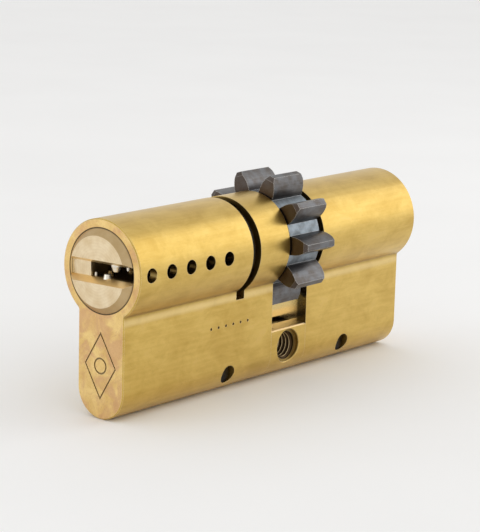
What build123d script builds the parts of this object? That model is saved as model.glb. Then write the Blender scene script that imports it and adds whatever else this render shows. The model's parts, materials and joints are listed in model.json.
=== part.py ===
from build123d import *
import math
import os

# Euro-profile lock cylinder, keyed at both ends, with a ten-tooth gear cam.
# Millimetres. Origin: centre of the M5 fixing hole, on the middle plane.
# X runs along the barrel, with the front keyed face at -X. +Z is up. The fixing screw lies along Y.

# Body
FRONT_LENGTH = 42.2          # fixing hole to front face
REAR_LENGTH = 31.8           # fixing hole to rear face
AXIS_Z = 18.86               # barrel axis above the fixing hole
BARREL_R = 8.5
WEB_HALF = 5.0               # half the web width, also the radius of its rounded foot
FOOT_Z = AXIS_Z - 24.5       # lowest line of the body
ROOT_FILLET = 0.5            # where the web runs into the barrel
FACE_CHAMFER = 0.2
BORE_R = 7.0

# Cam slot and bridge
SLOT_HALF = 4.75
SLOT_FLOOR_Z = AXIS_Z - 15.5
CHANNEL_HALF = 1.6           # shallow channel along the middle of the slot's floor
CHANNEL_DEPTH = 0.6
SEAM_GAP = 0.02
TONGUE_REACH = 18.0
TONGUE_HALF = 2.5
TONGUE_TOP_Z = AXIS_Z - 18.5
TONGUE_FOOT_Z = AXIS_Z - 23.2
TONGUE_FIT = 0.05
M5_WALL_R = 2.5
M5_MOUTH_R = 2.95
M5_MOUTH_DEPTH = 0.8
M5_MOUTH_CHAMFER = 0.15
DOWEL_X = 15.9
DOWEL_Z = AXIS_Z - 21.1
DOWEL_R = 1.6
DOWEL_HALF_LENGTH = 3.7

# Sawn clip slot in the front barrel
SAW_X0 = -14.5
SAW_X1 = -12.45
SAW_FLOOR_Z = AXIS_Z - 8.35

# Pin chambers, counted inward from each keyed face
PIN_COUNT = 5
PIN_FIRST = 2.3
PIN_PITCH = 4.71
CHAMBER_R = 1.45
SIDE_HOLE_FIRST = 2.69
SIDE_HOLE_R = 1.2
SIDE_HOLE_RISE = 0.2
CAP_R = 1.44
CAP_TOP_Z = AXIS_Z - 20.0
CAP_FOOT_Z = AXIS_Z - 24.25

# Plain engraved marks
ENGRAVE_DEPTH = 0.15
ENGRAVE_LINE = 0.3
LOZENGE_Z = AXIS_Z - 15.6
LOZENGE_HALF_WIDTH = 3.3
LOZENGE_HALF_HEIGHT = 5.4
RING_R = 1.25
DOT_R = 0.24
DOT_COUNT = 6
DOT_X = -20.8
DOT_Z = 6.5
DOT_PITCH = 1.9

# Plugs
PLUG_R = 6.95
PLUG_PROUD = 1.07
PLUG_FACE_R = 5.85
GROOVE_MOUTH_HALF = 1.92
GROOVE_DEPTH = 1.6
KEYWAY_HALF = 1.15
KEYWAY_EDGE = 2.8
KEYWAY_TILT = 1.5            # degrees, about the barrel axis
NOSE_BORE_R = 0.7
NOSE_SHELF = -2.0
FRONT_PLUG_END = -12.6
FRONT_KEYWAY_END = -16.2
REAR_PLUG_SHOULDER = 3.8
REAR_KEYWAY_END = 6.2

# Clips
CLIP_SEAT_R = 6.1
CLIP_OUTER_R = 7.7
CLIP_MOUTH_HALF = 3.0
FRONT_CLIP_X0 = -14.0
FRONT_CLIP_X1 = -13.0
REAR_CLIP_X0 = 4.15
REAR_CLIP_X1 = 4.70
CLIP_PLAY = 0.03

# Spindle and clutch
SPINDLE_R = 6.9
SPINDLE_X0 = -12.45
SPINDLE_SHOULDER = -4.85
JOURNAL_R = 5.4
JOURNAL_END = 1.3
TONGUE_DRIVE_HALF = 1.5
TONGUE_DRIVE_RISE = 5.0
TONGUE_DRIVE_X0 = -15.0
DOG_HUB_R = 2.8
DOG_WING_HALF = 1.4
DOG_WING_R = 4.7
DOG_FIT = 0.05
PUSHER_R = 1.0
FRONT_DOG_X0 = -4.5
FRONT_DOG_X1 = 1.05
FRONT_DOG_SLOT = -7.2
FRONT_PUSHER_END = -16.3
REAR_DOG_X0 = 1.35
REAR_DOG_X1 = 4.6
REAR_DOG_SLOT = 4.9
REAR_PUSHER_END = 8.6

# Gear cam
GEAR_X0 = -4.45
GEAR_X1 = 3.6
GEAR_TEETH = 10
GEAR_PHASE = -0.5            # degrees
GEAR_VALLEY_R = 8.35
GEAR_TIP_R = 11.87
GEAR_BORE_R = 5.45
GEAR_WEB_HALF = 1.0
TOOTH_FLANK = [(8.2, 1.62), (9.2, 1.55), (10.1, 1.38), (11.1, 0.95), (11.87, 0.54)]
TOOTH_END_LENGTH = 0.4
TOOTH_END_DROP = 0.8

# Pins
PIN_R = 1.4
PIN_CHAMFER = 0.15
SHEAR_GAP = 0.03
KEY_PIN_NOSE_R = 0.64
KEY_PIN_TIP_R = 0.45
KEY_PIN_SHELF = -2.7
KEY_PIN_TIPS = [-0.2, -0.55, -0.35, -0.65, -0.45]
DRIVER_FOOT = -11.5
SPIGOT_R = 0.7
SPIGOT_LENGTH = 1.0
SPRING_COIL_R = 1.12
SPRING_WIRE_R = 0.2
SPRING_TURNS = 7
SPRING_PLAY = 0.03

# Hardened pins and wards in the plugs
GUARD_R = 0.8
GUARD_DEPTH = 4.5
GUARD_SPREAD = 2.6
GUARD_FOOT = 2.0
GUARD_TOP = 6.0
# Each ward in the keyway mouth: depth, radius, tip radius, y, tip height, root height.
# A ward with its root above its tip hangs from the keyway's roof; the others stand on its floor.
WARDS = [
    (1.20, 0.30, 0.20, 2.3, -0.65, -2.8),
    (0.92, 0.74, 0.52, -0.5, -0.52, -1.9),
    (1.20, 0.90, 0.55, -2.2, 0.12, 2.8),
    (1.20, 0.32, 0.20, -4.7, 0.62, 2.8),
]
WARD_TAPER = 0.9


def x_rod(radius, x0, x1):
    """Round bar on the barrel axis."""
    bar = Cylinder(radius, x1 - x0, align=(Align.CENTER, Align.CENTER, Align.MIN))
    return Pos(x0, 0, AXIS_Z) * Rot(0, 90, 0) * bar


def y_rod(radius, x, z, y0, y1):
    """Round bar along the fixing screw's direction."""
    bar = Cylinder(radius, y1 - y0, align=(Align.CENTER, Align.CENTER, Align.MIN))
    return Pos(x, y0, z) * Rot(-90, 0, 0) * bar


def z_rod(radius, x, y, z0, z1):
    """Upright round bar."""
    bar = Cylinder(radius, z1 - z0, align=(Align.CENTER, Align.CENTER, Align.MIN))
    return Pos(x, y, z0) * bar


def z_cone(radius0, radius1, x, y, z0, z1):
    """Upright cone frustum, radius0 at the bottom."""
    cone = Cone(radius0, radius1, z1 - z0, align=(Align.CENTER, Align.CENTER, Align.MIN))
    return Pos(x, y, z0) * cone


def block(x0, x1, y0, y1, z0, z1):
    """Box given by its two corners in any order."""
    centre = ((x0 + x1) / 2, (y0 + y1) / 2, (z0 + z1) / 2)
    return Pos(*centre) * Box(abs(x1 - x0), abs(y1 - y0), abs(z1 - z0))


class Half:
    """One end of the lock: where its keyed face is and which way is inward."""

    def __init__(self, name, face_x, inward):
        self.name = name
        self.face_x = face_x
        self.inward = inward

    def x(self, depth):
        return self.face_x + self.inward * depth

    def y(self, y):
        return self.inward * y

    def row_xs(self, first):
        return [self.x(first + PIN_PITCH * i) for i in range(PIN_COUNT)]

    def pin_xs(self):
        return self.row_xs(PIN_FIRST)

    def spring_seat(self, x):
        """Springs stand on the bridge tongue where it passes under a chamber, else on a cap."""
        return TONGUE_TOP_Z if abs(x) < TONGUE_REACH else CAP_TOP_Z


FRONT = Half("front", -FRONT_LENGTH, 1)
REAR = Half("rear", REAR_LENGTH, -1)


def web_profile():
    """Web with its rounded foot, without the barrel."""
    foot = Pos(0, FOOT_Z + WEB_HALF) * Circle(WEB_HALF)
    height = AXIS_Z - FOOT_Z - WEB_HALF
    flat = Pos(0, FOOT_Z + WEB_HALF + height / 2) * Rectangle(2 * WEB_HALF, height)
    return foot + flat


def body_profile():
    """Euro profile: barrel over web, with a small fillet where they meet."""
    barrel = Pos(0, AXIS_Z) * Circle(BARREL_R)
    profile = barrel + web_profile()
    root_z = AXIS_Z - math.sqrt(BARREL_R ** 2 - WEB_HALF ** 2)
    roots = [v for v in profile.vertices() if abs(v.Y - root_z) < 0.01]
    return fillet(roots, ROOT_FILLET)


def body_blank(half):
    """Solid body from the keyed face to the cam slot, outer face edge broken."""
    x0, x1 = sorted((half.face_x, -half.inward * SLOT_HALF))
    blank = extrude(Plane.YZ.offset(x0) * body_profile(), x1 - x0)
    face = blank.faces().filter_by(Axis.X).sort_by(Axis.X)[0 if half.inward > 0 else -1]
    return chamfer(face.edges(), FACE_CHAMFER)


def body(half):
    """Drilled and slotted body half."""
    solid = body_blank(half) - x_rod(BORE_R, -60, 60)
    for x in half.pin_xs():
        foot = TONGUE_TOP_Z if abs(x) < TONGUE_REACH else FOOT_Z - 1
        solid -= z_rod(CHAMBER_R, x, 0, foot, AXIS_Z - BORE_R + 1)
    for x in half.row_xs(SIDE_HOLE_FIRST):
        y0, y1 = sorted((half.y(-BARREL_R - 1), half.y(-BORE_R + 1)))
        solid -= y_rod(SIDE_HOLE_R, x, AXIS_Z + SIDE_HOLE_RISE, y0, y1)
    reach = -half.inward * (TONGUE_REACH + TONGUE_FIT)
    wide = TONGUE_HALF + TONGUE_FIT
    solid -= block(0, reach, -wide, wide, TONGUE_FOOT_Z - TONGUE_FIT, TONGUE_TOP_Z + TONGUE_FIT)
    return solid - y_rod(DOWEL_R, -half.inward * DOWEL_X, DOWEL_Z, -9, 9)


def lozenge_mark():
    """Plain lozenge with a ring in it, cut into the front face."""
    def lozenge(grow):
        wide, high = LOZENGE_HALF_WIDTH + grow, LOZENGE_HALF_HEIGHT + grow * 1.8
        return make_face(Polyline((wide, 0), (0, high), (-wide, 0), (0, -high), close=True))
    line = ENGRAVE_LINE / 2
    mark = lozenge(line) - lozenge(-line) + (Circle(RING_R + line) - Circle(RING_R - line))
    plane = Plane.YZ.offset(-FRONT_LENGTH - 1) * Pos(0, LOZENGE_Z)
    return extrude(plane * mark, 1 + ENGRAVE_DEPTH)


def dot_marks():
    """Row of small punched dots on the side of the web."""
    return [y_rod(DOT_R, DOT_X + DOT_PITCH * i, DOT_Z, -WEB_HALF - 1, -WEB_HALF + ENGRAVE_DEPTH)
            for i in range(DOT_COUNT)]


def front_body():
    """Front half with its sawn slot and engraved marks."""
    solid = body(FRONT) - block(SAW_X0, SAW_X1, -12, 12, SAW_FLOOR_Z, AXIS_Z + 12)
    for cut in [lozenge_mark(), *dot_marks()]:
        solid -= cut
    return solid


def bridge():
    """Centre block with the fixing hole and a tongue into each body half."""
    half_length = SLOT_HALF - SEAM_GAP
    centre = extrude(Plane.YZ.offset(-half_length) * web_profile(), 2 * half_length)
    centre -= block(-9, 9, -9, 9, SLOT_FLOOR_Z, AXIS_Z + 9)
    rims = [e for e in centre.edges().filter_by(Axis.X) if abs(e.center().Z - SLOT_FLOOR_Z) < 0.01]
    centre = chamfer(rims, FACE_CHAMFER)
    centre -= block(-9, 9, -CHANNEL_HALF, CHANNEL_HALF, SLOT_FLOOR_Z - CHANNEL_DEPTH, AXIS_Z)
    tongue = block(-TONGUE_REACH, TONGUE_REACH, -TONGUE_HALF, TONGUE_HALF, TONGUE_FOOT_Z, TONGUE_TOP_Z)
    solid = centre + tongue
    for sign in (-1, 1):
        solid -= y_rod(DOWEL_R, sign * DOWEL_X, DOWEL_Z, -9, 9)
    solid -= y_rod(M5_WALL_R, 0, 0, -9, 9)
    for sign in (-1, 1):
        inner, outer = sign * (WEB_HALF - M5_MOUTH_DEPTH), sign * 9
        solid -= y_rod(M5_MOUTH_R, 0, 0, *sorted((inner, outer)))
    mouths = [e for e in solid.edges().filter_by(GeomType.CIRCLE)
              if abs(e.radius - M5_MOUTH_R) < 0.01 and abs(abs(e.center().Y) - WEB_HALF) < 0.01]
    return chamfer(mouths, M5_MOUTH_CHAMFER)


def bridge_pins():
    r = DOWEL_R - 0.01
    pins = [y_rod(r, s * DOWEL_X, DOWEL_Z, -DOWEL_HALF_LENGTH, DOWEL_HALF_LENGTH) for s in (-1, 1)]
    return [chamfer(p.edges().filter_by(GeomType.CIRCLE), PIN_CHAMFER) for p in pins]


def chamber_caps(half):
    xs = [x for x in half.pin_xs() if abs(x) > TONGUE_REACH]
    return [z_rod(CAP_R, x, 0, CAP_FOOT_Z, CAP_TOP_Z) for x in xs]


def plug_blank(half, inner_x):
    """Round plug with a proud, chamfered face."""
    face, end = half.face_x, inner_x
    x0, x1 = sorted((face, end))
    blank = x_rod(PLUG_R, x0, x1)
    tip = Cone(PLUG_R, PLUG_FACE_R, PLUG_PROUD, align=(Align.CENTER, Align.CENTER, Align.MIN))
    return blank + Pos(face, 0, AXIS_Z) * Rot(0, -90 * half.inward, 0) * tip


def keyway_cutter(half, keyway_end):
    """Flared groove across the face and, to one side, the keyway behind it."""
    face = half.x(-PLUG_PROUD)
    slope = (GROOVE_MOUTH_HALF - KEYWAY_HALF) / GROOVE_DEPTH
    wide = GROOVE_MOUTH_HALF + slope
    outer, inner = face - half.inward, face + half.inward * GROOVE_DEPTH
    corners = [(outer, -wide), (inner, -KEYWAY_HALF), (inner, KEYWAY_HALF), (outer, wide)]
    flare = extrude(Plane.XZ * make_face(Polyline(*corners, close=True)), 9, both=True)
    slot = block(face, keyway_end, half.y(-9), half.y(KEYWAY_EDGE), -KEYWAY_HALF, KEYWAY_HALF)
    return Pos(0, 0, AXIS_Z) * Rot(-KEYWAY_TILT, 0, 0) * (flare + slot)


def cut_keyway(plug, half, keyway_end):
    """Keyway with the key pin chambers below it and the ward holes in its mouth."""
    plug -= keyway_cutter(half, keyway_end)
    for x in half.pin_xs():
        plug -= z_rod(CHAMBER_R, x, 0, AXIS_Z - 9, AXIS_Z + NOSE_SHELF)
        plug -= z_rod(NOSE_BORE_R, x, 0, AXIS_Z - 9, AXIS_Z)
    for depth, r, tip_r, y, tip, root in WARDS:
        plug -= z_rod(r, half.x(depth), half.y(y), *sorted((AXIS_Z, AXIS_Z + root)))
    return plug


def clip_groove(x0, x1):
    return x_rod(PLUG_R + 1, x0, x1) - x_rod(CLIP_SEAT_R, x0, x1)


def dog_pocket(x0, x1):
    """Slot for a clutch dog: a round hub with two wings."""
    wing = DOG_WING_HALF + DOG_FIT
    return x_rod(DOG_HUB_R + DOG_FIT, x0, x1) + block(x0, x1, -wing, wing, AXIS_Z - 9, AXIS_Z + 9)


def guard_spots():
    return [(FRONT.x(GUARD_DEPTH), y) for y in (-GUARD_SPREAD, GUARD_SPREAD)]


def front_plug():
    plug = cut_keyway(plug_blank(FRONT, FRONT_PLUG_END), FRONT, FRONT_KEYWAY_END)
    plug -= clip_groove(FRONT_CLIP_X0, FRONT_CLIP_X1)
    half, rise = TONGUE_DRIVE_HALF + DOG_FIT, TONGUE_DRIVE_RISE + DOG_FIT
    plug -= block(TONGUE_DRIVE_X0 - DOG_FIT, 0, -half, half, AXIS_Z - rise, AXIS_Z + rise)
    plug -= x_rod(PUSHER_R + DOG_FIT, FRONT_KEYWAY_END - 1, 0)
    for x, y in guard_spots():
        plug -= z_rod(GUARD_R, x, y, AXIS_Z + GUARD_FOOT, AXIS_Z + 9)
    return plug


def rear_plug():
    plug = cut_keyway(plug_blank(REAR, REAR_PLUG_SHOULDER), REAR, REAR_KEYWAY_END)
    plug += x_rod(JOURNAL_R, JOURNAL_END, REAR_PLUG_SHOULDER)
    plug -= clip_groove(REAR_CLIP_X0, REAR_CLIP_X1)
    pocket = dog_pocket(0, REAR_DOG_SLOT) & x_rod(JOURNAL_R, 0, REAR_DOG_SLOT)
    plug -= pocket
    return plug - x_rod(PUSHER_R + DOG_FIT, 0, REAR_KEYWAY_END + 1)


def wards(half):
    """Fixed steel tips that stand in the mouth of the keyway."""
    tips = []
    for depth, r, tip_r, y, tip, root in WARDS:
        way = math.copysign(1, root)
        shoulder = tip + way * WARD_TAPER
        shank = z_rod(r - 0.01, 0, 0, shoulder * way, root * way)
        nose = z_cone(tip_r, r - 0.01, 0, 0, tip * way, shoulder * way)
        turn = Rot(0, 0, 0) if way > 0 else Rot(180, 0, 0)
        tips.append(Pos(half.x(depth), half.y(y), AXIS_Z) * turn * (shank + nose))
    return tips


def drill_guard_pins():
    return [z_rod(GUARD_R - 0.01, x, y, AXIS_Z + GUARD_FOOT, AXIS_Z + GUARD_TOP) for x, y in guard_spots()]


def clip(x0, x1, opening):
    """Open spring ring; opening is +1 for a mouth at the top, -1 at the bottom."""
    a, b = x0 + CLIP_PLAY, x1 - CLIP_PLAY
    ring = x_rod(CLIP_OUTER_R, a, b) - x_rod(CLIP_SEAT_R + CLIP_PLAY, a, b)
    mouth = block(a, b, -CLIP_MOUTH_HALF, CLIP_MOUTH_HALF, AXIS_Z, AXIS_Z + opening * 9)
    return ring - mouth


def front_spindle():
    """Steel extension that carries the front plug's turn to the gear."""
    solid = x_rod(SPINDLE_R, SPINDLE_X0, SPINDLE_SHOULDER) + x_rod(JOURNAL_R, SPINDLE_SHOULDER, -JOURNAL_END)
    half, rise = TONGUE_DRIVE_HALF, TONGUE_DRIVE_RISE
    solid += block(TONGUE_DRIVE_X0, SPINDLE_X0 + 1, -half, half, AXIS_Z - rise, AXIS_Z + rise)
    solid -= dog_pocket(FRONT_DOG_SLOT, 0) & x_rod(JOURNAL_R, FRONT_DOG_SLOT, 0)
    return solid - x_rod(PUSHER_R + DOG_FIT, -20, 0)


def dog(x0, x1):
    """Clutch dog: a round hub with two opposed wings."""
    wings = block(x0, x1, -DOG_WING_HALF, DOG_WING_HALF, AXIS_Z - 9, AXIS_Z + 9)
    return x_rod(DOG_HUB_R, x0, x1) + (wings & x_rod(DOG_WING_R, x0, x1))


def front_dog():
    return dog(FRONT_DOG_X0, FRONT_DOG_X1) + x_rod(PUSHER_R, FRONT_PUSHER_END, FRONT_DOG_X0)


def rear_dog():
    return dog(REAR_DOG_X0, REAR_DOG_X1) + x_rod(PUSHER_R, REAR_DOG_X1, REAR_PUSHER_END)


def tooth_profile():
    """One gear tooth pointing along the sketch's first axis."""
    low = [(r, -w) for r, w in TOOTH_FLANK]
    high = [(r, w) for r, w in reversed(TOOTH_FLANK)]
    outline = Spline(*low) + Line(low[-1], high[0]) + Spline(*high) + Line(high[-1], low[0])
    return make_face(outline)


def gear_envelope():
    """Turned limits of the gear: tooth ends fall away at both faces."""
    drop = GEAR_TIP_R + 0.1 - TOOTH_END_DROP
    length = GEAR_X1 - GEAR_X0
    a = TOOTH_END_LENGTH
    points = [(0, 0), (drop, 0), (GEAR_TIP_R + 0.1, a), (GEAR_TIP_R + 0.1, length - a), (drop, length), (0, length)]
    turned = revolve(make_face(Polyline(*points, close=True)), Axis.Y)
    return Pos(GEAR_X0, 0, AXIS_Z) * Rot(0, 0, -90) * turned


def gear_cam():
    """Ten-tooth gear with a keyed web inside for the clutch dogs."""
    profile = Circle(GEAR_VALLEY_R)
    tooth = tooth_profile()
    for i in range(GEAR_TEETH):
        profile += Rot(0, 0, GEAR_PHASE + 360 / GEAR_TEETH * i) * tooth
    gear = extrude(Plane.YZ.offset(GEAR_X0) * (Pos(0, AXIS_Z) * profile), GEAR_X1 - GEAR_X0)
    gear &= gear_envelope()
    gear -= x_rod(GEAR_BORE_R, GEAR_X0, -GEAR_WEB_HALF)
    gear -= x_rod(GEAR_BORE_R, GEAR_WEB_HALF, GEAR_X1)
    keyhole = dog_pocket(-2, 2) & x_rod(DOG_WING_R + DOG_FIT, -2, 2)
    return gear - keyhole


def key_pin(x, tip):
    """Key pin: crowned foot at the shear line, narrower nose that stands into the keyway."""
    shelf = AXIS_Z + KEY_PIN_SHELF
    shank = z_rod(PIN_R, x, 0, AXIS_Z - BORE_R, shelf)
    rim = shank.edges().filter_by(GeomType.CIRCLE).sort_by(Axis.Z)[-1]
    shank = chamfer(rim, PIN_CHAMFER) & Pos(x, 0, AXIS_Z) * Sphere(PLUG_R - 0.01)
    neck = z_rod(KEY_PIN_NOSE_R, x, 0, shelf, AXIS_Z + tip - 0.4)
    return shank + neck + z_cone(KEY_PIN_NOSE_R, KEY_PIN_TIP_R, x, 0, AXIS_Z + tip - 0.4, AXIS_Z + tip)


def driver(x):
    """Driver pin with a spigot for its spring."""
    top = AXIS_Z - BORE_R - SHEAR_GAP
    foot = AXIS_Z + DRIVER_FOOT
    shank = z_rod(PIN_R, x, 0, foot, top)
    shank = chamfer(shank.edges().filter_by(GeomType.CIRCLE), PIN_CHAMFER)
    return shank + z_rod(SPIGOT_R, x, 0, foot - SPIGOT_LENGTH, foot)


def spring(x, seat_z):
    """Helical spring between its seat and the driver's shoulder."""
    z0 = seat_z + SPRING_WIRE_R + SPRING_PLAY
    z1 = AXIS_Z + DRIVER_FOOT - SPRING_WIRE_R - SPRING_PLAY
    path = Helix((z1 - z0) / SPRING_TURNS, z1 - z0, SPRING_COIL_R)
    start = Plane(path @ 0, z_dir=path % 0)
    return Pos(x, 0, z0) * sweep(start * Circle(SPRING_WIRE_R), path)


def main():
    parts = {
        "front_body": front_body(),
        "rear_body": body(REAR),
        "bridge": bridge(),
        "bridge_pins": bridge_pins(),
        "front_plug": front_plug(),
        "rear_plug": rear_plug(),
        "front_clip": clip(FRONT_CLIP_X0, FRONT_CLIP_X1, -1),
        "rear_clip": clip(REAR_CLIP_X0, REAR_CLIP_X1, -1),
        "front_spindle": front_spindle(),
        "front_dog": front_dog(),
        "rear_dog": rear_dog(),
        "gear_cam": gear_cam(),
        "drill_guard_pins": drill_guard_pins(),
    }
    for half in (FRONT, REAR):
        parts[f"{half.name}_chamber_caps"] = chamber_caps(half)
        parts[f"{half.name}_keyway_wards"] = wards(half)
        for i, x in enumerate(half.pin_xs()):
            parts[f"{half.name}_key_pin_{i + 1}"] = key_pin(x, KEY_PIN_TIPS[i])
            parts[f"{half.name}_driver_{i + 1}"] = driver(x)
            parts[f"{half.name}_spring_{i + 1}"] = spring(x, half.spring_seat(x))
    os.makedirs("parts", exist_ok=True)
    for name, shape in parts.items():
        if isinstance(shape, list):
            shape = Compound([solid for piece in shape for solid in piece.solids()])
        export_step(shape, f"parts/{name}.step")


main()
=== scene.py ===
"""Looks for the euro-profile lock cylinder with a gear cam: materials, thread, light and camera."""
import json
import math

import bpy
from mathutils import Matrix, Vector


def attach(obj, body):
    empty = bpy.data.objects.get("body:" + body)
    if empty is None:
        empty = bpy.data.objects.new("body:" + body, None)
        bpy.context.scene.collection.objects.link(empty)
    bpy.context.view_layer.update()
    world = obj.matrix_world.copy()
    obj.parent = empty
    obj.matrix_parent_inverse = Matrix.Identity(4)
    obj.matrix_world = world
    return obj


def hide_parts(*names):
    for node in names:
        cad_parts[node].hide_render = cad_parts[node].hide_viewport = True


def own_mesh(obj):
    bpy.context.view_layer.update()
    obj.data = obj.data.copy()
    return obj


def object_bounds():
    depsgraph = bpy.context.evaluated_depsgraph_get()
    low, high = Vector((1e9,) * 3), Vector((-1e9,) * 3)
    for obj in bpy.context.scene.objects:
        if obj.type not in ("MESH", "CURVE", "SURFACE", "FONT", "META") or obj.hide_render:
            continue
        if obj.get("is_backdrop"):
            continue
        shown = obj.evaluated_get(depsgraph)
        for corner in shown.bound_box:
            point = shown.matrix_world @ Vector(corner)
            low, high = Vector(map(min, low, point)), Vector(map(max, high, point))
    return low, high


# The part's own sizes, in millimetres
MM = 0.001
AXIS_Z = 18.86          # barrel axis above the fixing hole
FRONT_X = -42.2         # front face
REAR_X = 31.8           # rear face
BARREL_R = 8.5
BORE_R = 7.0
PLUG_R = 6.95
PLUG_FACE_R = 5.85
PLUG_PROUD = 1.07       # plug's face beyond the body's
GROOVE_HALF = 1.95
PIN_SHADE_DEPTH = 3.7      # how far in the pins are painted with shade
WEB_HALF = 5.0
JUNCTION_Z = 12.1       # barrel meets web
SLOT_HALF = 4.75
SLOT_FLOOR_Z = 3.36
CHANNEL_HALF = 1.6
M5_WALL_R = 2.5
M5_WALL_HALF = 4.2
M5_MOUTH_R = 2.95
VALLEY_R = 8.35         # gear's floor between the teeth
MARK_DROP = 8.4         # engraved lozenge lies this far below the axis and more
DOT_Z = 6.5             # row of engraved dots
DOTS_X = (-22.0, -10.8)

# M5 thread piece
THREAD_PITCH = 0.8
THREAD_MAJOR = 2.52
THREAD_MINOR = 2.12
THREAD_HALF = 4.15      # half its length
THREAD_FOOT = 0.36      # half the ridge's width at its foot
THREAD_CREST = 0.05     # and at its crest
THREAD_END = 0.37       # from the end of the wall to the ridge's middle
THREAD_STEPS = 56       # in one turn
THREAD_FADE = 8         # steps over which the ridge starts and ends
THREAD_START = 0.42     # turns before the +X direction

# Stage
FLOOR_HALF = 2.0
LIGHT_AIM = (-0.005, 0, 0.012)
CAMERA_ANGLES = (-50.307, 12.158, 1.545)    # azimuth, elevation and roll, degrees
CAMERA_DISTANCE = 354.44
CAMERA_TARGET = (34.473 + FRONT_X, 0, AXIS_Z - 4.256)
CAMERA_LENS = 139.36

# Dark brass of the engraved marks, and painted shade in holes, gaps, the crease and the slot's channel
DARK_MARK_AND_SHADE = (0.060, 0.036, 0.015, 1)

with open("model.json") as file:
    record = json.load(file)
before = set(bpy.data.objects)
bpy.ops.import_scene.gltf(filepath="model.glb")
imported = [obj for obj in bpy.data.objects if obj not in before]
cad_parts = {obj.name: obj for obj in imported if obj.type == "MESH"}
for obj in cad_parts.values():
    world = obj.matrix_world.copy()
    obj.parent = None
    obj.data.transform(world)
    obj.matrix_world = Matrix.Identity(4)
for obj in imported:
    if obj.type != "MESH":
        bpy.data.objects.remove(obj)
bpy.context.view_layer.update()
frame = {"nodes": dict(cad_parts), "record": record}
nodes = frame["nodes"]


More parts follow.
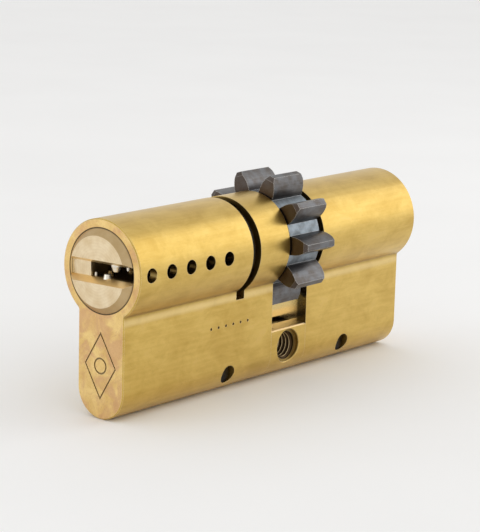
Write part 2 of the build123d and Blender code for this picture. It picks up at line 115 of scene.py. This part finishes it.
# ---------------------------------------------------------------- node helpers
class Graph:
    """Small helper that adds nodes to one material and links what it is given."""

    def __init__(self, name):
        self.material = bpy.data.materials.new(name)
        self.material.use_nodes = True
        self.tree = self.material.node_tree
        self.tree.nodes.clear()
        self.output = self.tree.nodes.new("ShaderNodeOutputMaterial")
        self.shader = self.tree.nodes.new("ShaderNodeBsdfPrincipled")
        self.tree.links.new(self.shader.outputs[0], self.output.inputs[0])

    def put(self, socket, value):
        """Links a socket, or sets a plain value."""
        if isinstance(value, bpy.types.NodeSocket):
            self.tree.links.new(value, socket)
        else:
            socket.default_value = value

    def node(self, kind, out=0, props=None, **inputs):
        """New node; an input is given by its name, or by its number as i0, i1 and so on."""
        made = self.tree.nodes.new("ShaderNode" + kind)
        for key, value in (props or {}).items():
            setattr(made, key, value)
        for key, value in inputs.items():
            numbered = key[0] == "i" and key[1:].isdigit()
            self.put(made.inputs[int(key[1:]) if numbered else key], value)
        return made.outputs[out]

    def math(self, operation, a, b=0.0):
        return self.node("Math", props={"operation": operation}, i0=a, i1=b)

    def mix(self, factor, a, b):
        """Colour a where factor is 0, b where it is 1."""
        made = self.tree.nodes.new("ShaderNodeMix")
        made.data_type = "RGBA"
        self.put(made.inputs[0], factor)
        self.put(made.inputs[6], a)
        self.put(made.inputs[7], b)
        return made.outputs[2]

    def ramp(self, value, low, high, to_low=0.0, to_high=1.0):
        """Value mapped from low..high to to_low..to_high, held at the ends."""
        return self.node("MapRange", props={"clamp": True}, i0=value, i1=low, i2=high, i3=to_low, i4=to_high)

    def position(self, scale=(1, 1, 1), turn=(0, 0, 0)):
        """Object position in millimetres, stretched by scale."""
        coord = self.tree.nodes.new("ShaderNodeTexCoord").outputs["Object"]
        factors = [1000 * s for s in scale]
        return self.node("Mapping", i0=coord, i2=turn, i3=factors)

    def noise(self, scale, size, detail=4.0, roughness=0.55, distortion=0.0, turn=(0, 0, 0)):
        vector = self.position(scale, turn)
        return self.node("TexNoise", i0=vector, Scale=size, Detail=detail, Roughness=roughness,
                         Distortion=distortion)

    def normal(self):
        """X, Y and Z of the surface direction in the part's own frame."""
        coord = self.tree.nodes.new("ShaderNodeTexCoord").outputs["Normal"]
        split = self.tree.nodes.new("ShaderNodeSeparateXYZ")
        self.tree.links.new(coord, split.inputs[0])
        return split.outputs

    def place(self):
        """X, Y and Z of the point, in millimetres."""
        split = self.tree.nodes.new("ShaderNodeSeparateXYZ")
        self.tree.links.new(self.position(), split.inputs[0])
        return split.outputs

    def face_depth(self):
        """How far a point lies inside the nearer keyed face, in millimetres."""
        x = self.place()[0]
        return self.math("MINIMUM", self.minus(x, FRONT_X), self.minus(REAR_X, x))

    def radius(self):
        """Distance from the barrel axis, in millimetres."""
        place = self.place()
        return self.length(place[1], self.minus(place[2], AXIS_Z))

    def bore(self):
        """Distance from the fixing hole's axis, in millimetres."""
        place = self.place()
        return self.length(place[0], place[2])

    def add(self, *values):
        total = values[0]
        for value in values[1:]:
            total = self.math("ADD", total, value)
        return total

    def times(self, *values):
        total = values[0]
        for value in values[1:]:
            total = self.math("MULTIPLY", total, value)
        return total

    def abs(self, value):
        return self.math("ABSOLUTE", value)

    def minus(self, a, b):
        return self.math("SUBTRACT", a, b)

    def over(self, value, limit, soft=0.1):
        """1 where value is above limit, fading to 0 within soft below it."""
        return self.ramp(value, limit - soft, limit)

    def under(self, value, limit, soft=0.1):
        """1 where value is below limit, fading to 0 within soft above it."""
        return self.ramp(value, limit + soft, limit)

    def length(self, a, b):
        """Length of the vector (a, b)."""
        return self.math("SQRT", self.add(self.times(a, a), self.times(b, b)))

    def bump(self, height, strength, distance_mm, soft_mm=0.06):
        """Bump over edges that are slightly rounded."""
        soft = self.node("Bevel", props={"samples": 4}, Radius=soft_mm * MM)
        return self.node("Bump", Height=height, Strength=strength, Distance=distance_mm * MM, Normal=soft)

    def edge(self, radius_mm):
        """1 along sharp edges, 0 on open faces."""
        soft = self.node("Bevel", props={"samples": 4}, Radius=radius_mm * MM)
        sharp = self.tree.nodes.new("ShaderNodeNewGeometry").outputs["Normal"]
        dot = self.node("VectorMath", out=1, props={"operation": "DOT_PRODUCT"}, i0=soft, i1=sharp)
        return self.ramp(dot, 0.995, 0.93)

    def coat(self, weight, roughness):
        """Thin clear film, for paler highlights."""
        self.shader.inputs["Coat Weight"].default_value = weight
        self.shader.inputs["Coat Roughness"].default_value = roughness

    def finish(self, color, roughness, normal, metallic=1.0):
        """Fills the shader and gives the material."""
        self.put(self.shader.inputs["Base Color"], color)
        self.put(self.shader.inputs["Roughness"], roughness)
        self.put(self.shader.inputs["Normal"], normal)
        self.shader.inputs["Metallic"].default_value = metallic
        return self.material


# ---------------------------------------------------------------- materials
def brass_tone(g, lines, fine, blotch, speck):
    """Bare brass along the sides of the bar."""
    tone = g.add(g.times(lines, 0.25), g.times(blotch, 0.75))
    color = g.mix(g.ramp(tone, 0.36, 0.64), (0.560, 0.360, 0.070, 1), (0.720, 0.500, 0.130, 1))
    color = g.mix(g.ramp(fine, 0.58, 0.80, 0, 0.25), color, (0.84, 0.66, 0.28, 1))
    color = g.mix(g.ramp(speck, 0.56, 0.72, 0, 0.45), color, (0.52, 0.340, 0.080, 1))
    return g.mix(g.ramp(blotch, 0.60, 0.74, 0, 0.35), color, (0.60, 0.39, 0.14, 1))


def end_tone(g, blotch, speck, grain):
    """Warmer brass of the end faces, with pinkish patches and small spots."""
    patch = g.noise((1, 1, 1), 0.26, detail=5, roughness=0.6, distortion=0.6, turn=(0.4, 0.3, 0))
    color = g.mix(g.ramp(blotch, 0.36, 0.62), (0.74, 0.490, 0.165, 1), (0.88, 0.64, 0.260, 1))
    color = g.mix(g.ramp(patch, 0.46, 0.60, 0, 0.65), color, (0.64, 0.36, 0.190, 1))
    color = g.mix(g.ramp(speck, 0.54, 0.68, 0, 0.35), color, (0.60, 0.33, 0.150, 1))
    return g.mix(g.ramp(grain, 0.60, 0.70, 0, 0.40), color, (0.33, 0.16, 0.075, 1))


def slot_faces(g):
    """Walls and ledge of the gear slot, each 0 to 1."""
    x, y, z = g.place()
    window = g.times(g.under(g.abs(x), SLOT_HALF + 0.15), g.under(g.abs(y), WEB_HALF - 0.02, 0.04),
                     g.over(z, SLOT_FLOOR_Z - 0.56, 0.2), g.under(z, JUNCTION_Z + 0.9, 0.2),
                     g.over(g.radius(), BARREL_R + 0.12, 0.07))
    wall = g.times(window, g.over(g.abs(g.normal()[0]), 0.9))
    ledge = g.times(window, g.over(g.normal()[2], 0.8, 0.3))
    return wall, ledge


def slot_tone(g, color, wall, ledge):
    """Slot walls lightened as painted light, a painted dark reflection along their outer parts, and a tan
    ledge.
    """
    dark_reflection_band = g.over(g.abs(g.place()[1]), 3.2, 0.4)
    # Painted light: the slot walls are lightened.
    color = g.mix(g.times(wall, 0.75), color, (0.82, 0.65, 0.30, 1))
    # Painted dark reflection along the outer part of each wall.
    color = g.mix(g.times(wall, dark_reflection_band, 0.88), color, (0.10, 0.075, 0.018, 1))
    return g.mix(g.times(ledge, 0.85), color, (0.74, 0.55, 0.34, 1))


def painted_highlights(g, color, depth):
    """Painted highlights: a bright ring at the lip of the plug's bore, and a light line along the web under
    the barrel.
    """
    _, y, z = g.place()
    # Painted highlight: a bright ring on the bore's lip just inside the end face.
    lip = g.times(g.under(g.radius(), BORE_R + 0.15), g.over(depth, 0.16, 0.06), g.under(depth, 0.55, 0.05))
    color = g.mix(g.times(lip, 0.85), color, (1.0, 0.88, 0.64, 1))
    # Painted highlight: a light line along the web just under the barrel.
    from_line = g.abs(g.minus(z, JUNCTION_Z - 1.1))
    line = g.times(g.under(from_line, 0.2, 0.6), g.over(g.abs(y), WEB_HALF - 0.05, 0.05))
    return g.mix(g.times(line, 0.35), color, (0.92, 0.74, 0.42, 1))


def engraved(g, end, depth):
    """Lines of the lozenge and its ring, and the row of dots."""
    x, y, z = g.place()
    lozenge = g.times(end, g.over(depth, 0.12, 0.06), g.over(g.minus(AXIS_Z, z), MARK_DROP, 0.2))
    dots = g.times(g.under(g.abs(y), WEB_HALF - 0.05, 0.03), g.over(g.abs(y), WEB_HALF - 0.20),
                   g.under(g.abs(g.minus(z, DOT_Z)), 0.3),
                   g.over(x, DOTS_X[0], 0.5), g.under(x, DOTS_X[1], 0.3))
    return lozenge, dots


def engraving_and_painted_shade(g, end, depth, hole_mouth_shade):
    """Engraved marks, and painted shade in holes, gaps and corners, each with its strength."""
    x, y, z = g.place()
    across = g.abs(y)
    radius = g.radius()
    lozenge, dots = engraved(g, end, depth)
    # Painted shade inside the barrel's holes and slots, beyond the first 0.8 mm.
    inner_shade = g.times(g.under(radius, BARREL_R - 0.20, 0.13), g.over(depth, 0.8, 0.2))
    # Painted shade in the gap between the bore and the plug, on the end face.
    seam_shade = g.times(g.under(radius, BORE_R + 0.07, 0.09), g.under(depth, 0.05, 0.07))
    # Painted shade in the crease where the web meets the barrel.
    from_junction = g.abs(g.minus(z, JUNCTION_Z))
    crease_shade = g.times(g.under(from_junction, 0.10, 0.65), g.over(across, WEB_HALF - 0.05, 0.05))
    # Painted shade on the fixing hole's wall.
    thread = g.times(g.under(g.bore(), M5_WALL_R + 0.05, 0.07), g.under(across, M5_WALL_HALF - 0.1, 0.2))
    # Painted shade in the channel along the slot floor.
    channel_shade = g.times(g.under(across, CHANNEL_HALF, 0.06), g.under(g.abs(x), SLOT_HALF + 0.15, 0.2),
                      g.under(z, SLOT_FLOOR_Z - 0.08, 0.06), g.over(z, SLOT_FLOOR_Z - 0.66, 0.2))
    return ((lozenge, 0.74), (dots, 0.8), (inner_shade, 0.68), (seam_shade, 0.92), (hole_mouth_shade, 0.50),
            (crease_shade, 0.30), (thread, 0.80), (channel_shade, 0.95))


def body_brass():
    """Bare drawn brass: mottled, faint lines along the bar, painted shade inside holes and gaps, painted
    highlights on edges, spotted on the end faces.
    """
    g = Graph("body_brass")
    lines = g.noise((0.03, 1.6, 1.6), 1.0, detail=5, roughness=0.6)
    fine = g.noise((0.16, 10.0, 10.0), 1.0, detail=3, roughness=0.6)
    blotch = g.noise((0.6, 1.0, 1.0), 0.32, detail=6, roughness=0.62, distortion=0.5)
    speck = g.noise((0.7, 1, 1), 1.9, detail=5, roughness=0.72)
    grain = g.noise((1, 1, 1), 6.0, detail=3, roughness=0.65)
    cuts = g.noise((9.0, 0.5, 9.0), 1.0, detail=3, roughness=0.6, turn=(0.5, 0, 0))
    depth = g.face_depth()
    end = g.times(g.over(g.abs(g.normal()[0]), 0.98, 0.08), g.under(depth, 0.4, 0.2))
    color = g.mix(end, brass_tone(g, lines, fine, blotch, speck), end_tone(g, blotch, speck, grain))
    # Painted highlight along the sharp edges.
    color = g.mix(g.times(g.edge(0.12), 0.60), color, (0.95, 0.80, 0.50, 1))
    wall, ledge = slot_faces(g)
    color = slot_tone(g, color, wall, ledge)
    color = painted_highlights(g, color, depth)
    # Painted shade in the mouth of the fixing hole.
    hole_mouth_shade = g.times(g.under(g.bore(), M5_MOUTH_R + 0.03, 0.04),
                         g.under(g.abs(g.place()[1]), WEB_HALF - 0.14, 0.06))
    # Engraved marks darkened, and painted shade laid into holes, gaps and corners.
    for mask, weight in engraving_and_painted_shade(g, end, depth, hole_mouth_shade):
        color = g.mix(g.times(mask, weight), color, DARK_MARK_AND_SHADE)
    rough = g.add(0.25, g.times(blotch, 0.12), g.times(speck, 0.08), g.times(end, 0.07))
    rough = g.add(g.times(rough, g.minus(1.0, g.times(wall, 0.45))), g.times(hole_mouth_shade, 0.15))
    height = g.add(g.times(lines, 0.25), g.times(fine, 0.22), g.times(speck, 0.30),
                   g.times(end, cuts, 0.4), g.times(grain, 0.12))
    g.coat(0.35, 0.35)
    return g.finish(color, rough, g.bump(height, 0.32, 0.03))


def plug_tone(g, front, ring, fine, blotch):
    """Pale face with turning rings, and browner flanks."""
    face = g.mix(g.ramp(blotch, 0.35, 0.65), (0.72, 0.56, 0.34, 1), (0.84, 0.70, 0.48, 1))
    face = g.mix(g.ramp(fine, 0.62, 0.76, 0, 0.35), face, (0.60, 0.42, 0.22, 1))
    face = g.mix(g.ramp(ring, -1.0, 1.0, 0, 0.13), face, (0.58, 0.43, 0.24, 1))
    flank = g.mix(g.ramp(blotch, 0.35, 0.65), (0.58, 0.42, 0.21, 1), (0.70, 0.54, 0.31, 1))
    return g.mix(front, flank, face)


def plug_brass():
    """Pale nickel brass, turned: rings on the face; painted highlights on the edges and the face cut,
    painted shade on the chamfer, at the outer edge and inside the keyway.
    """
    g = Graph("plug_brass")
    radius = g.radius()
    depth = g.face_depth()
    wobble = g.noise((1, 1, 1), 0.8, detail=3)
    ring = g.math("SINE", g.times(g.add(radius, g.times(wobble, 0.5)), 13.0))
    fine = g.noise((1, 1, 1), 7.0, detail=3)
    blotch = g.noise((1, 1, 1), 0.5, detail=4)
    front = g.over(g.abs(g.normal()[0]), 0.98, 0.08)
    upright = g.abs(g.normal()[2])
    off_axis = g.abs(g.minus(g.place()[2], AXIS_Z))
    color = plug_tone(g, front, ring, fine, blotch)
    # Painted highlight along the sharp edges.
    color = g.mix(g.times(g.edge(0.10), 0.5), color, (0.95, 0.84, 0.62, 1))
    # Painted light: the flat walls of the cut in the plug's face are lightened.
    groove = g.times(g.under(off_axis, GROOVE_HALF, 0.15), g.over(depth, -PLUG_PROUD + 0.09, 0.06),
                     g.under(depth, 0.5), g.over(upright, 0.86, 0.06))
    color = g.mix(g.times(groove, 0.85), color, (1.0, 0.80, 0.47, 1))
    # Painted shade on the chamfer round the plug's face.
    bevel_shade = g.times(g.over(radius, PLUG_FACE_R + 0.05), g.under(depth, 0.0), g.under(upright, 0.78, 0.06))
    color = g.mix(g.times(bevel_shade, 0.45), color, (0.42, 0.28, 0.13, 1))
    # Painted shade inside the keyway.
    inside = g.times(g.over(depth, 1.6, 0.9), g.under(radius, PLUG_R - 0.15))
    color = g.mix(g.times(inside, 0.82), color, (0.10, 0.055, 0.022, 1))
    # Painted shade at the plug's outer edge, by the gap to the body.
    rim_shade = g.times(g.over(radius, PLUG_R - 0.02, 0.09), g.under(depth, -0.1, 0.2))
    color = g.mix(g.times(rim_shade, 0.6), color, (0.10, 0.06, 0.03, 1))
    rough = g.add(0.27, g.times(fine, 0.10), g.times(blotch, 0.08))
    height = g.add(g.times(ring, front, 0.6), g.times(fine, 0.4), g.times(blotch, 0.3))
    return g.finish(color, rough, g.bump(height, 0.32, 0.012, 0.05))


def gear_steel():
    """Dark steel: tooth end faces darkened brown and valleys lightened bluish, both painted reflection;
    painted shadow at the tooth roots; lighter edges, partly wear and partly painted highlight.
    """
    g = Graph("gear_steel")
    radius = g.radius()
    lines = g.noise((0.15, 5.0, 5.0), 1.0, detail=4, roughness=0.6)
    tint = g.noise((1, 1, 1), 0.45, detail=4, roughness=0.6)
    grain = g.noise((1, 1, 1), 9.0, detail=4, roughness=0.7)
    ends = g.over(g.abs(g.normal()[0]), 0.9, 0.3)
    color = g.mix(g.ramp(tint, 0.38, 0.62), (0.115, 0.100, 0.090, 1), (0.165, 0.168, 0.176, 1))
    # Painted reflection: the valleys between the teeth are lighter and bluish.
    valley_reflection = g.mix(g.ramp(tint, 0.36, 0.60), (0.13, 0.150, 0.165, 1), (0.26, 0.300, 0.335, 1))
    color = g.mix(g.under(radius, VALLEY_R + 0.07, 0.18), color, valley_reflection)
    # Painted shadow next to the tooth roots.
    root_shadow = g.times(g.over(radius, VALLEY_R + 0.13, 0.12), g.under(radius, VALLEY_R + 0.45, 0.9))
    color = g.mix(g.times(root_shadow, 0.80), color, (0.026, 0.022, 0.020, 1))
    color = g.mix(g.ramp(lines, 0.45, 0.75, 0, 0.35), color, (0.26, 0.25, 0.245, 1))
    color = g.mix(g.ramp(grain, 0.58, 0.78, 0, 0.50), color, (0.06, 0.045, 0.038, 1))
    # Painted reflection: the tooth end faces are darkened brown.
    color = g.mix(g.times(ends, 0.70), color, (0.075, 0.052, 0.038, 1))
    # Lighter edges, partly wear and partly painted highlight.
    color = g.mix(g.times(g.edge(0.11), 0.80), color, (0.62, 0.60, 0.57, 1))
    rough = g.add(0.26, g.times(grain, 0.16), g.times(lines, 0.08))
    height = g.add(g.times(lines, 0.5), g.times(grain, 0.5))
    return g.finish(color, rough, g.bump(height, 0.30, 0.02, 0.08))


def plain_metal(name, dark, light, rough, mouth_shade=0.0):
    """Small turned or drawn metal part, darkened with painted shade just inside a keyway's mouth."""
    g = Graph(name)
    tone = g.noise((1, 1, 1), 1.8, detail=4)
    grain = g.noise((1, 1, 1), 6.0, detail=3)
    color = g.mix(g.ramp(tone, 0.35, 0.65), dark, light)
    near_mouth = g.under(g.face_depth(), PIN_SHADE_DEPTH, 0.2)
    # Painted shade: pins near the keyway's mouth are darkened.
    color = g.mix(g.times(near_mouth, mouth_shade), color, (0.05, 0.03, 0.015, 1))
    roughness = g.add(rough, g.times(grain, 0.15))
    return g.finish(color, roughness, g.bump(grain, 0.25, 0.01, 0.04))


def thread_brass():
    """Cut thread: crests in plain brass colour, flanks painted dark as shade."""
    g = Graph("thread_brass")
    grain = g.noise((1, 1, 1), 6.0, detail=3)
    crest = g.under(g.bore(), THREAD_MINOR + 0.02, 0.05)
    # Painted shade: all but the crests is dark.
    color = g.mix(crest, (0.060, 0.036, 0.018, 1), (0.74, 0.58, 0.32, 1))
    color = g.mix(g.ramp(grain, 0.55, 0.75, 0, 0.4), color, (0.12, 0.07, 0.03, 1))
    return g.finish(color, 0.38, g.bump(grain, 0.25, 0.01, 0.03))


def floor_material():
    """Plain pale floor."""
    g = Graph("floor_paper")
    grain = g.noise((1, 1, 1), 0.02, detail=3)
    color = g.mix(g.ramp(grain, 0.3, 0.7), (0.955, 0.955, 0.955, 1), (0.975, 0.975, 0.975, 1))
    return g.finish(color, 0.85, g.bump(grain, 0.02, 0.01, 0.01), metallic=0.0)


def paint_nodes():
    """Gives every CAD node the material of its slot."""
    made = {
        "body_brass": body_brass(),
        "plug_brass": plug_brass(),
        "gear_steel": gear_steel(),
        "pin_brass": plain_metal("pin_brass", (0.62, 0.44, 0.17, 1), (0.78, 0.60, 0.30, 1), 0.2, mouth_shade=0.8),
        "dark_steel": plain_metal("dark_steel", (0.020, 0.018, 0.017, 1), (0.05, 0.045, 0.042, 1), 0.3),
        "bright_steel": plain_metal("bright_steel", (0.78, 0.72, 0.62, 1), (0.92, 0.87, 0.78, 1), 0.30),
        "spring_steel": plain_metal("spring_steel", (0.34, 0.34, 0.35, 1), (0.50, 0.50, 0.51, 1), 0.25),
    }
    slots = {s["node"]: s["material_slot"] for s in frame["record"]["subparts"]}
    for name, obj in nodes.items():
        obj.data.materials.clear()
        obj.data.materials.append(made[slots[name]])
        for polygon in obj.data.polygons:
            polygon.use_smooth = True
        obj.data.set_sharp_from_angle(angle=math.radians(32))


# ---------------------------------------------------------------- added pieces
def mesh_object(name, points, faces, material):
    """Smooth-shaded object from points and faces."""
    mesh = bpy.data.meshes.new(name)
    mesh.from_pydata(points, [], faces)
    mesh.update()
    for polygon in mesh.polygons:
        polygon.use_smooth = True
    mesh.set_sharp_from_angle(angle=math.radians(40))
    mesh.materials.append(material)
    obj = bpy.data.objects.new(name, mesh)
    bpy.context.scene.collection.objects.link(obj)
    return obj


def thread_points(count):
    """Rings of four points along the helix: foot, crest, crest, foot."""
    profile = [(THREAD_MAJOR, -THREAD_FOOT), (THREAD_MINOR, -THREAD_CREST),
               (THREAD_MINOR, THREAD_CREST), (THREAD_MAJOR, THREAD_FOOT)]
    points = []
    for i in range(count + 1):
        turn = i / THREAD_STEPS
        angle = 2 * math.pi * (turn - THREAD_START)
        along = -THREAD_HALF + THREAD_END + THREAD_PITCH * turn
        fade = min(1.0, i / THREAD_FADE, (count - i) / THREAD_FADE)
        for radius, offset in profile:
            r = THREAD_MAJOR + (radius - THREAD_MAJOR) * fade
            points.append((r * math.cos(angle) * MM, (along + offset) * MM, r * math.sin(angle) * MM))
    return points


def fixing_hole_thread():
    """Crest of the M5 thread, a helical ridge standing in from the hole's wall."""
    turns = (2 * THREAD_HALF - 2 * THREAD_END) / THREAD_PITCH
    count = int(THREAD_STEPS * turns)
    faces = []
    for i in range(count):
        for j in range(3):
            a = 4 * i + j
            faces.append((a, a + 1, a + 5, a + 4))
    piece = mesh_object("fixing_hole_thread", thread_points(count), faces, thread_brass())
    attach(piece, "housing")


def driver_springs():
    """Copies of the CAD springs, with their own shape, attached to the housing in place of the hidden
    originals.
    """
    for name in sorted(n for n in nodes if "_spring_" in n):
        coil = bpy.data.objects.new(name + "_coil", nodes[name].data.copy())
        bpy.context.scene.collection.objects.link(coil)
        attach(coil, "housing")
        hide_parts(name)
        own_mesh(coil)


# ---------------------------------------------------------------- stage
def floor():
    """Plain floor under the lowest point."""
    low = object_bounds()[0].z
    corners = ((-1, -1), (1, -1), (1, 1), (-1, 1))
    points = [(x * FLOOR_HALF, y * FLOOR_HALF, low) for x, y in corners]
    plane = mesh_object("floor", points, [(0, 1, 2, 3)], floor_material())
    plane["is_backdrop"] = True


def area_light(name, toward, distance, size, radiance):
    """Round soft light of a given brightness, seen from the object in one direction."""
    light = bpy.data.lights.new(name, "AREA")
    light.shape = "DISK"
    light.size = size
    light.energy = radiance * math.pi * math.pi * size * size / 4
    direction = Vector(toward).normalized()
    obj = bpy.data.objects.new(name, light)
    obj.location = Vector(LIGHT_AIM) + direction * distance
    obj.rotation_mode = "QUATERNION"
    obj.rotation_quaternion = (-direction).to_track_quat("-Z", "Y")
    bpy.context.scene.collection.objects.link(obj)


def world_light():
    """Even light from all around."""
    world = bpy.data.worlds.new("studio")
    world.use_nodes = True
    background = world.node_tree.nodes["Background"]
    background.inputs["Color"].default_value = (1.0, 0.995, 0.985, 1)
    background.inputs["Strength"].default_value = 0.84
    bpy.context.scene.world = world


def lights():
    """Even light, a soft key from the right and a weak fill on the front face."""
    world_light()
    area_light("key", (0.752, -0.46, 0.40), 0.45, 0.40, 0.88)
    area_light("face_fill", (-0.80, 0.45, 0.25), 0.40, 0.20, 1.2)


def camera():
    """Camera at the photograph's angle."""
    azimuth, elevation, roll = (math.radians(v) for v in CAMERA_ANGLES)
    target = Vector(CAMERA_TARGET)
    level = math.cos(elevation)
    back = Vector((math.sin(azimuth) * level, -math.cos(azimuth) * level, math.sin(elevation)))
    right = Vector((math.cos(azimuth), math.sin(azimuth), 0))
    up = back.cross(right)
    rolled_right = right * math.cos(roll) + up * math.sin(roll)
    rolled_up = up * math.cos(roll) - right * math.sin(roll)
    data = bpy.data.cameras.new("camera")
    data.lens = CAMERA_LENS
    data.sensor_width = 36
    data.clip_start, data.clip_end = 0.01, 20
    obj = bpy.data.objects.new("camera", data)
    rotation = Matrix((rolled_right, rolled_up, back)).transposed()
    place = (target + back * CAMERA_DISTANCE) * MM
    obj.matrix_world = Matrix.Translation(place) @ rotation.to_4x4()
    bpy.context.scene.collection.objects.link(obj)
    bpy.context.scene.camera = obj


paint_nodes()
fixing_hole_thread()
driver_springs()
floor()
lights()
camera()
bpy.context.scene.view_settings.view_transform = "Standard"
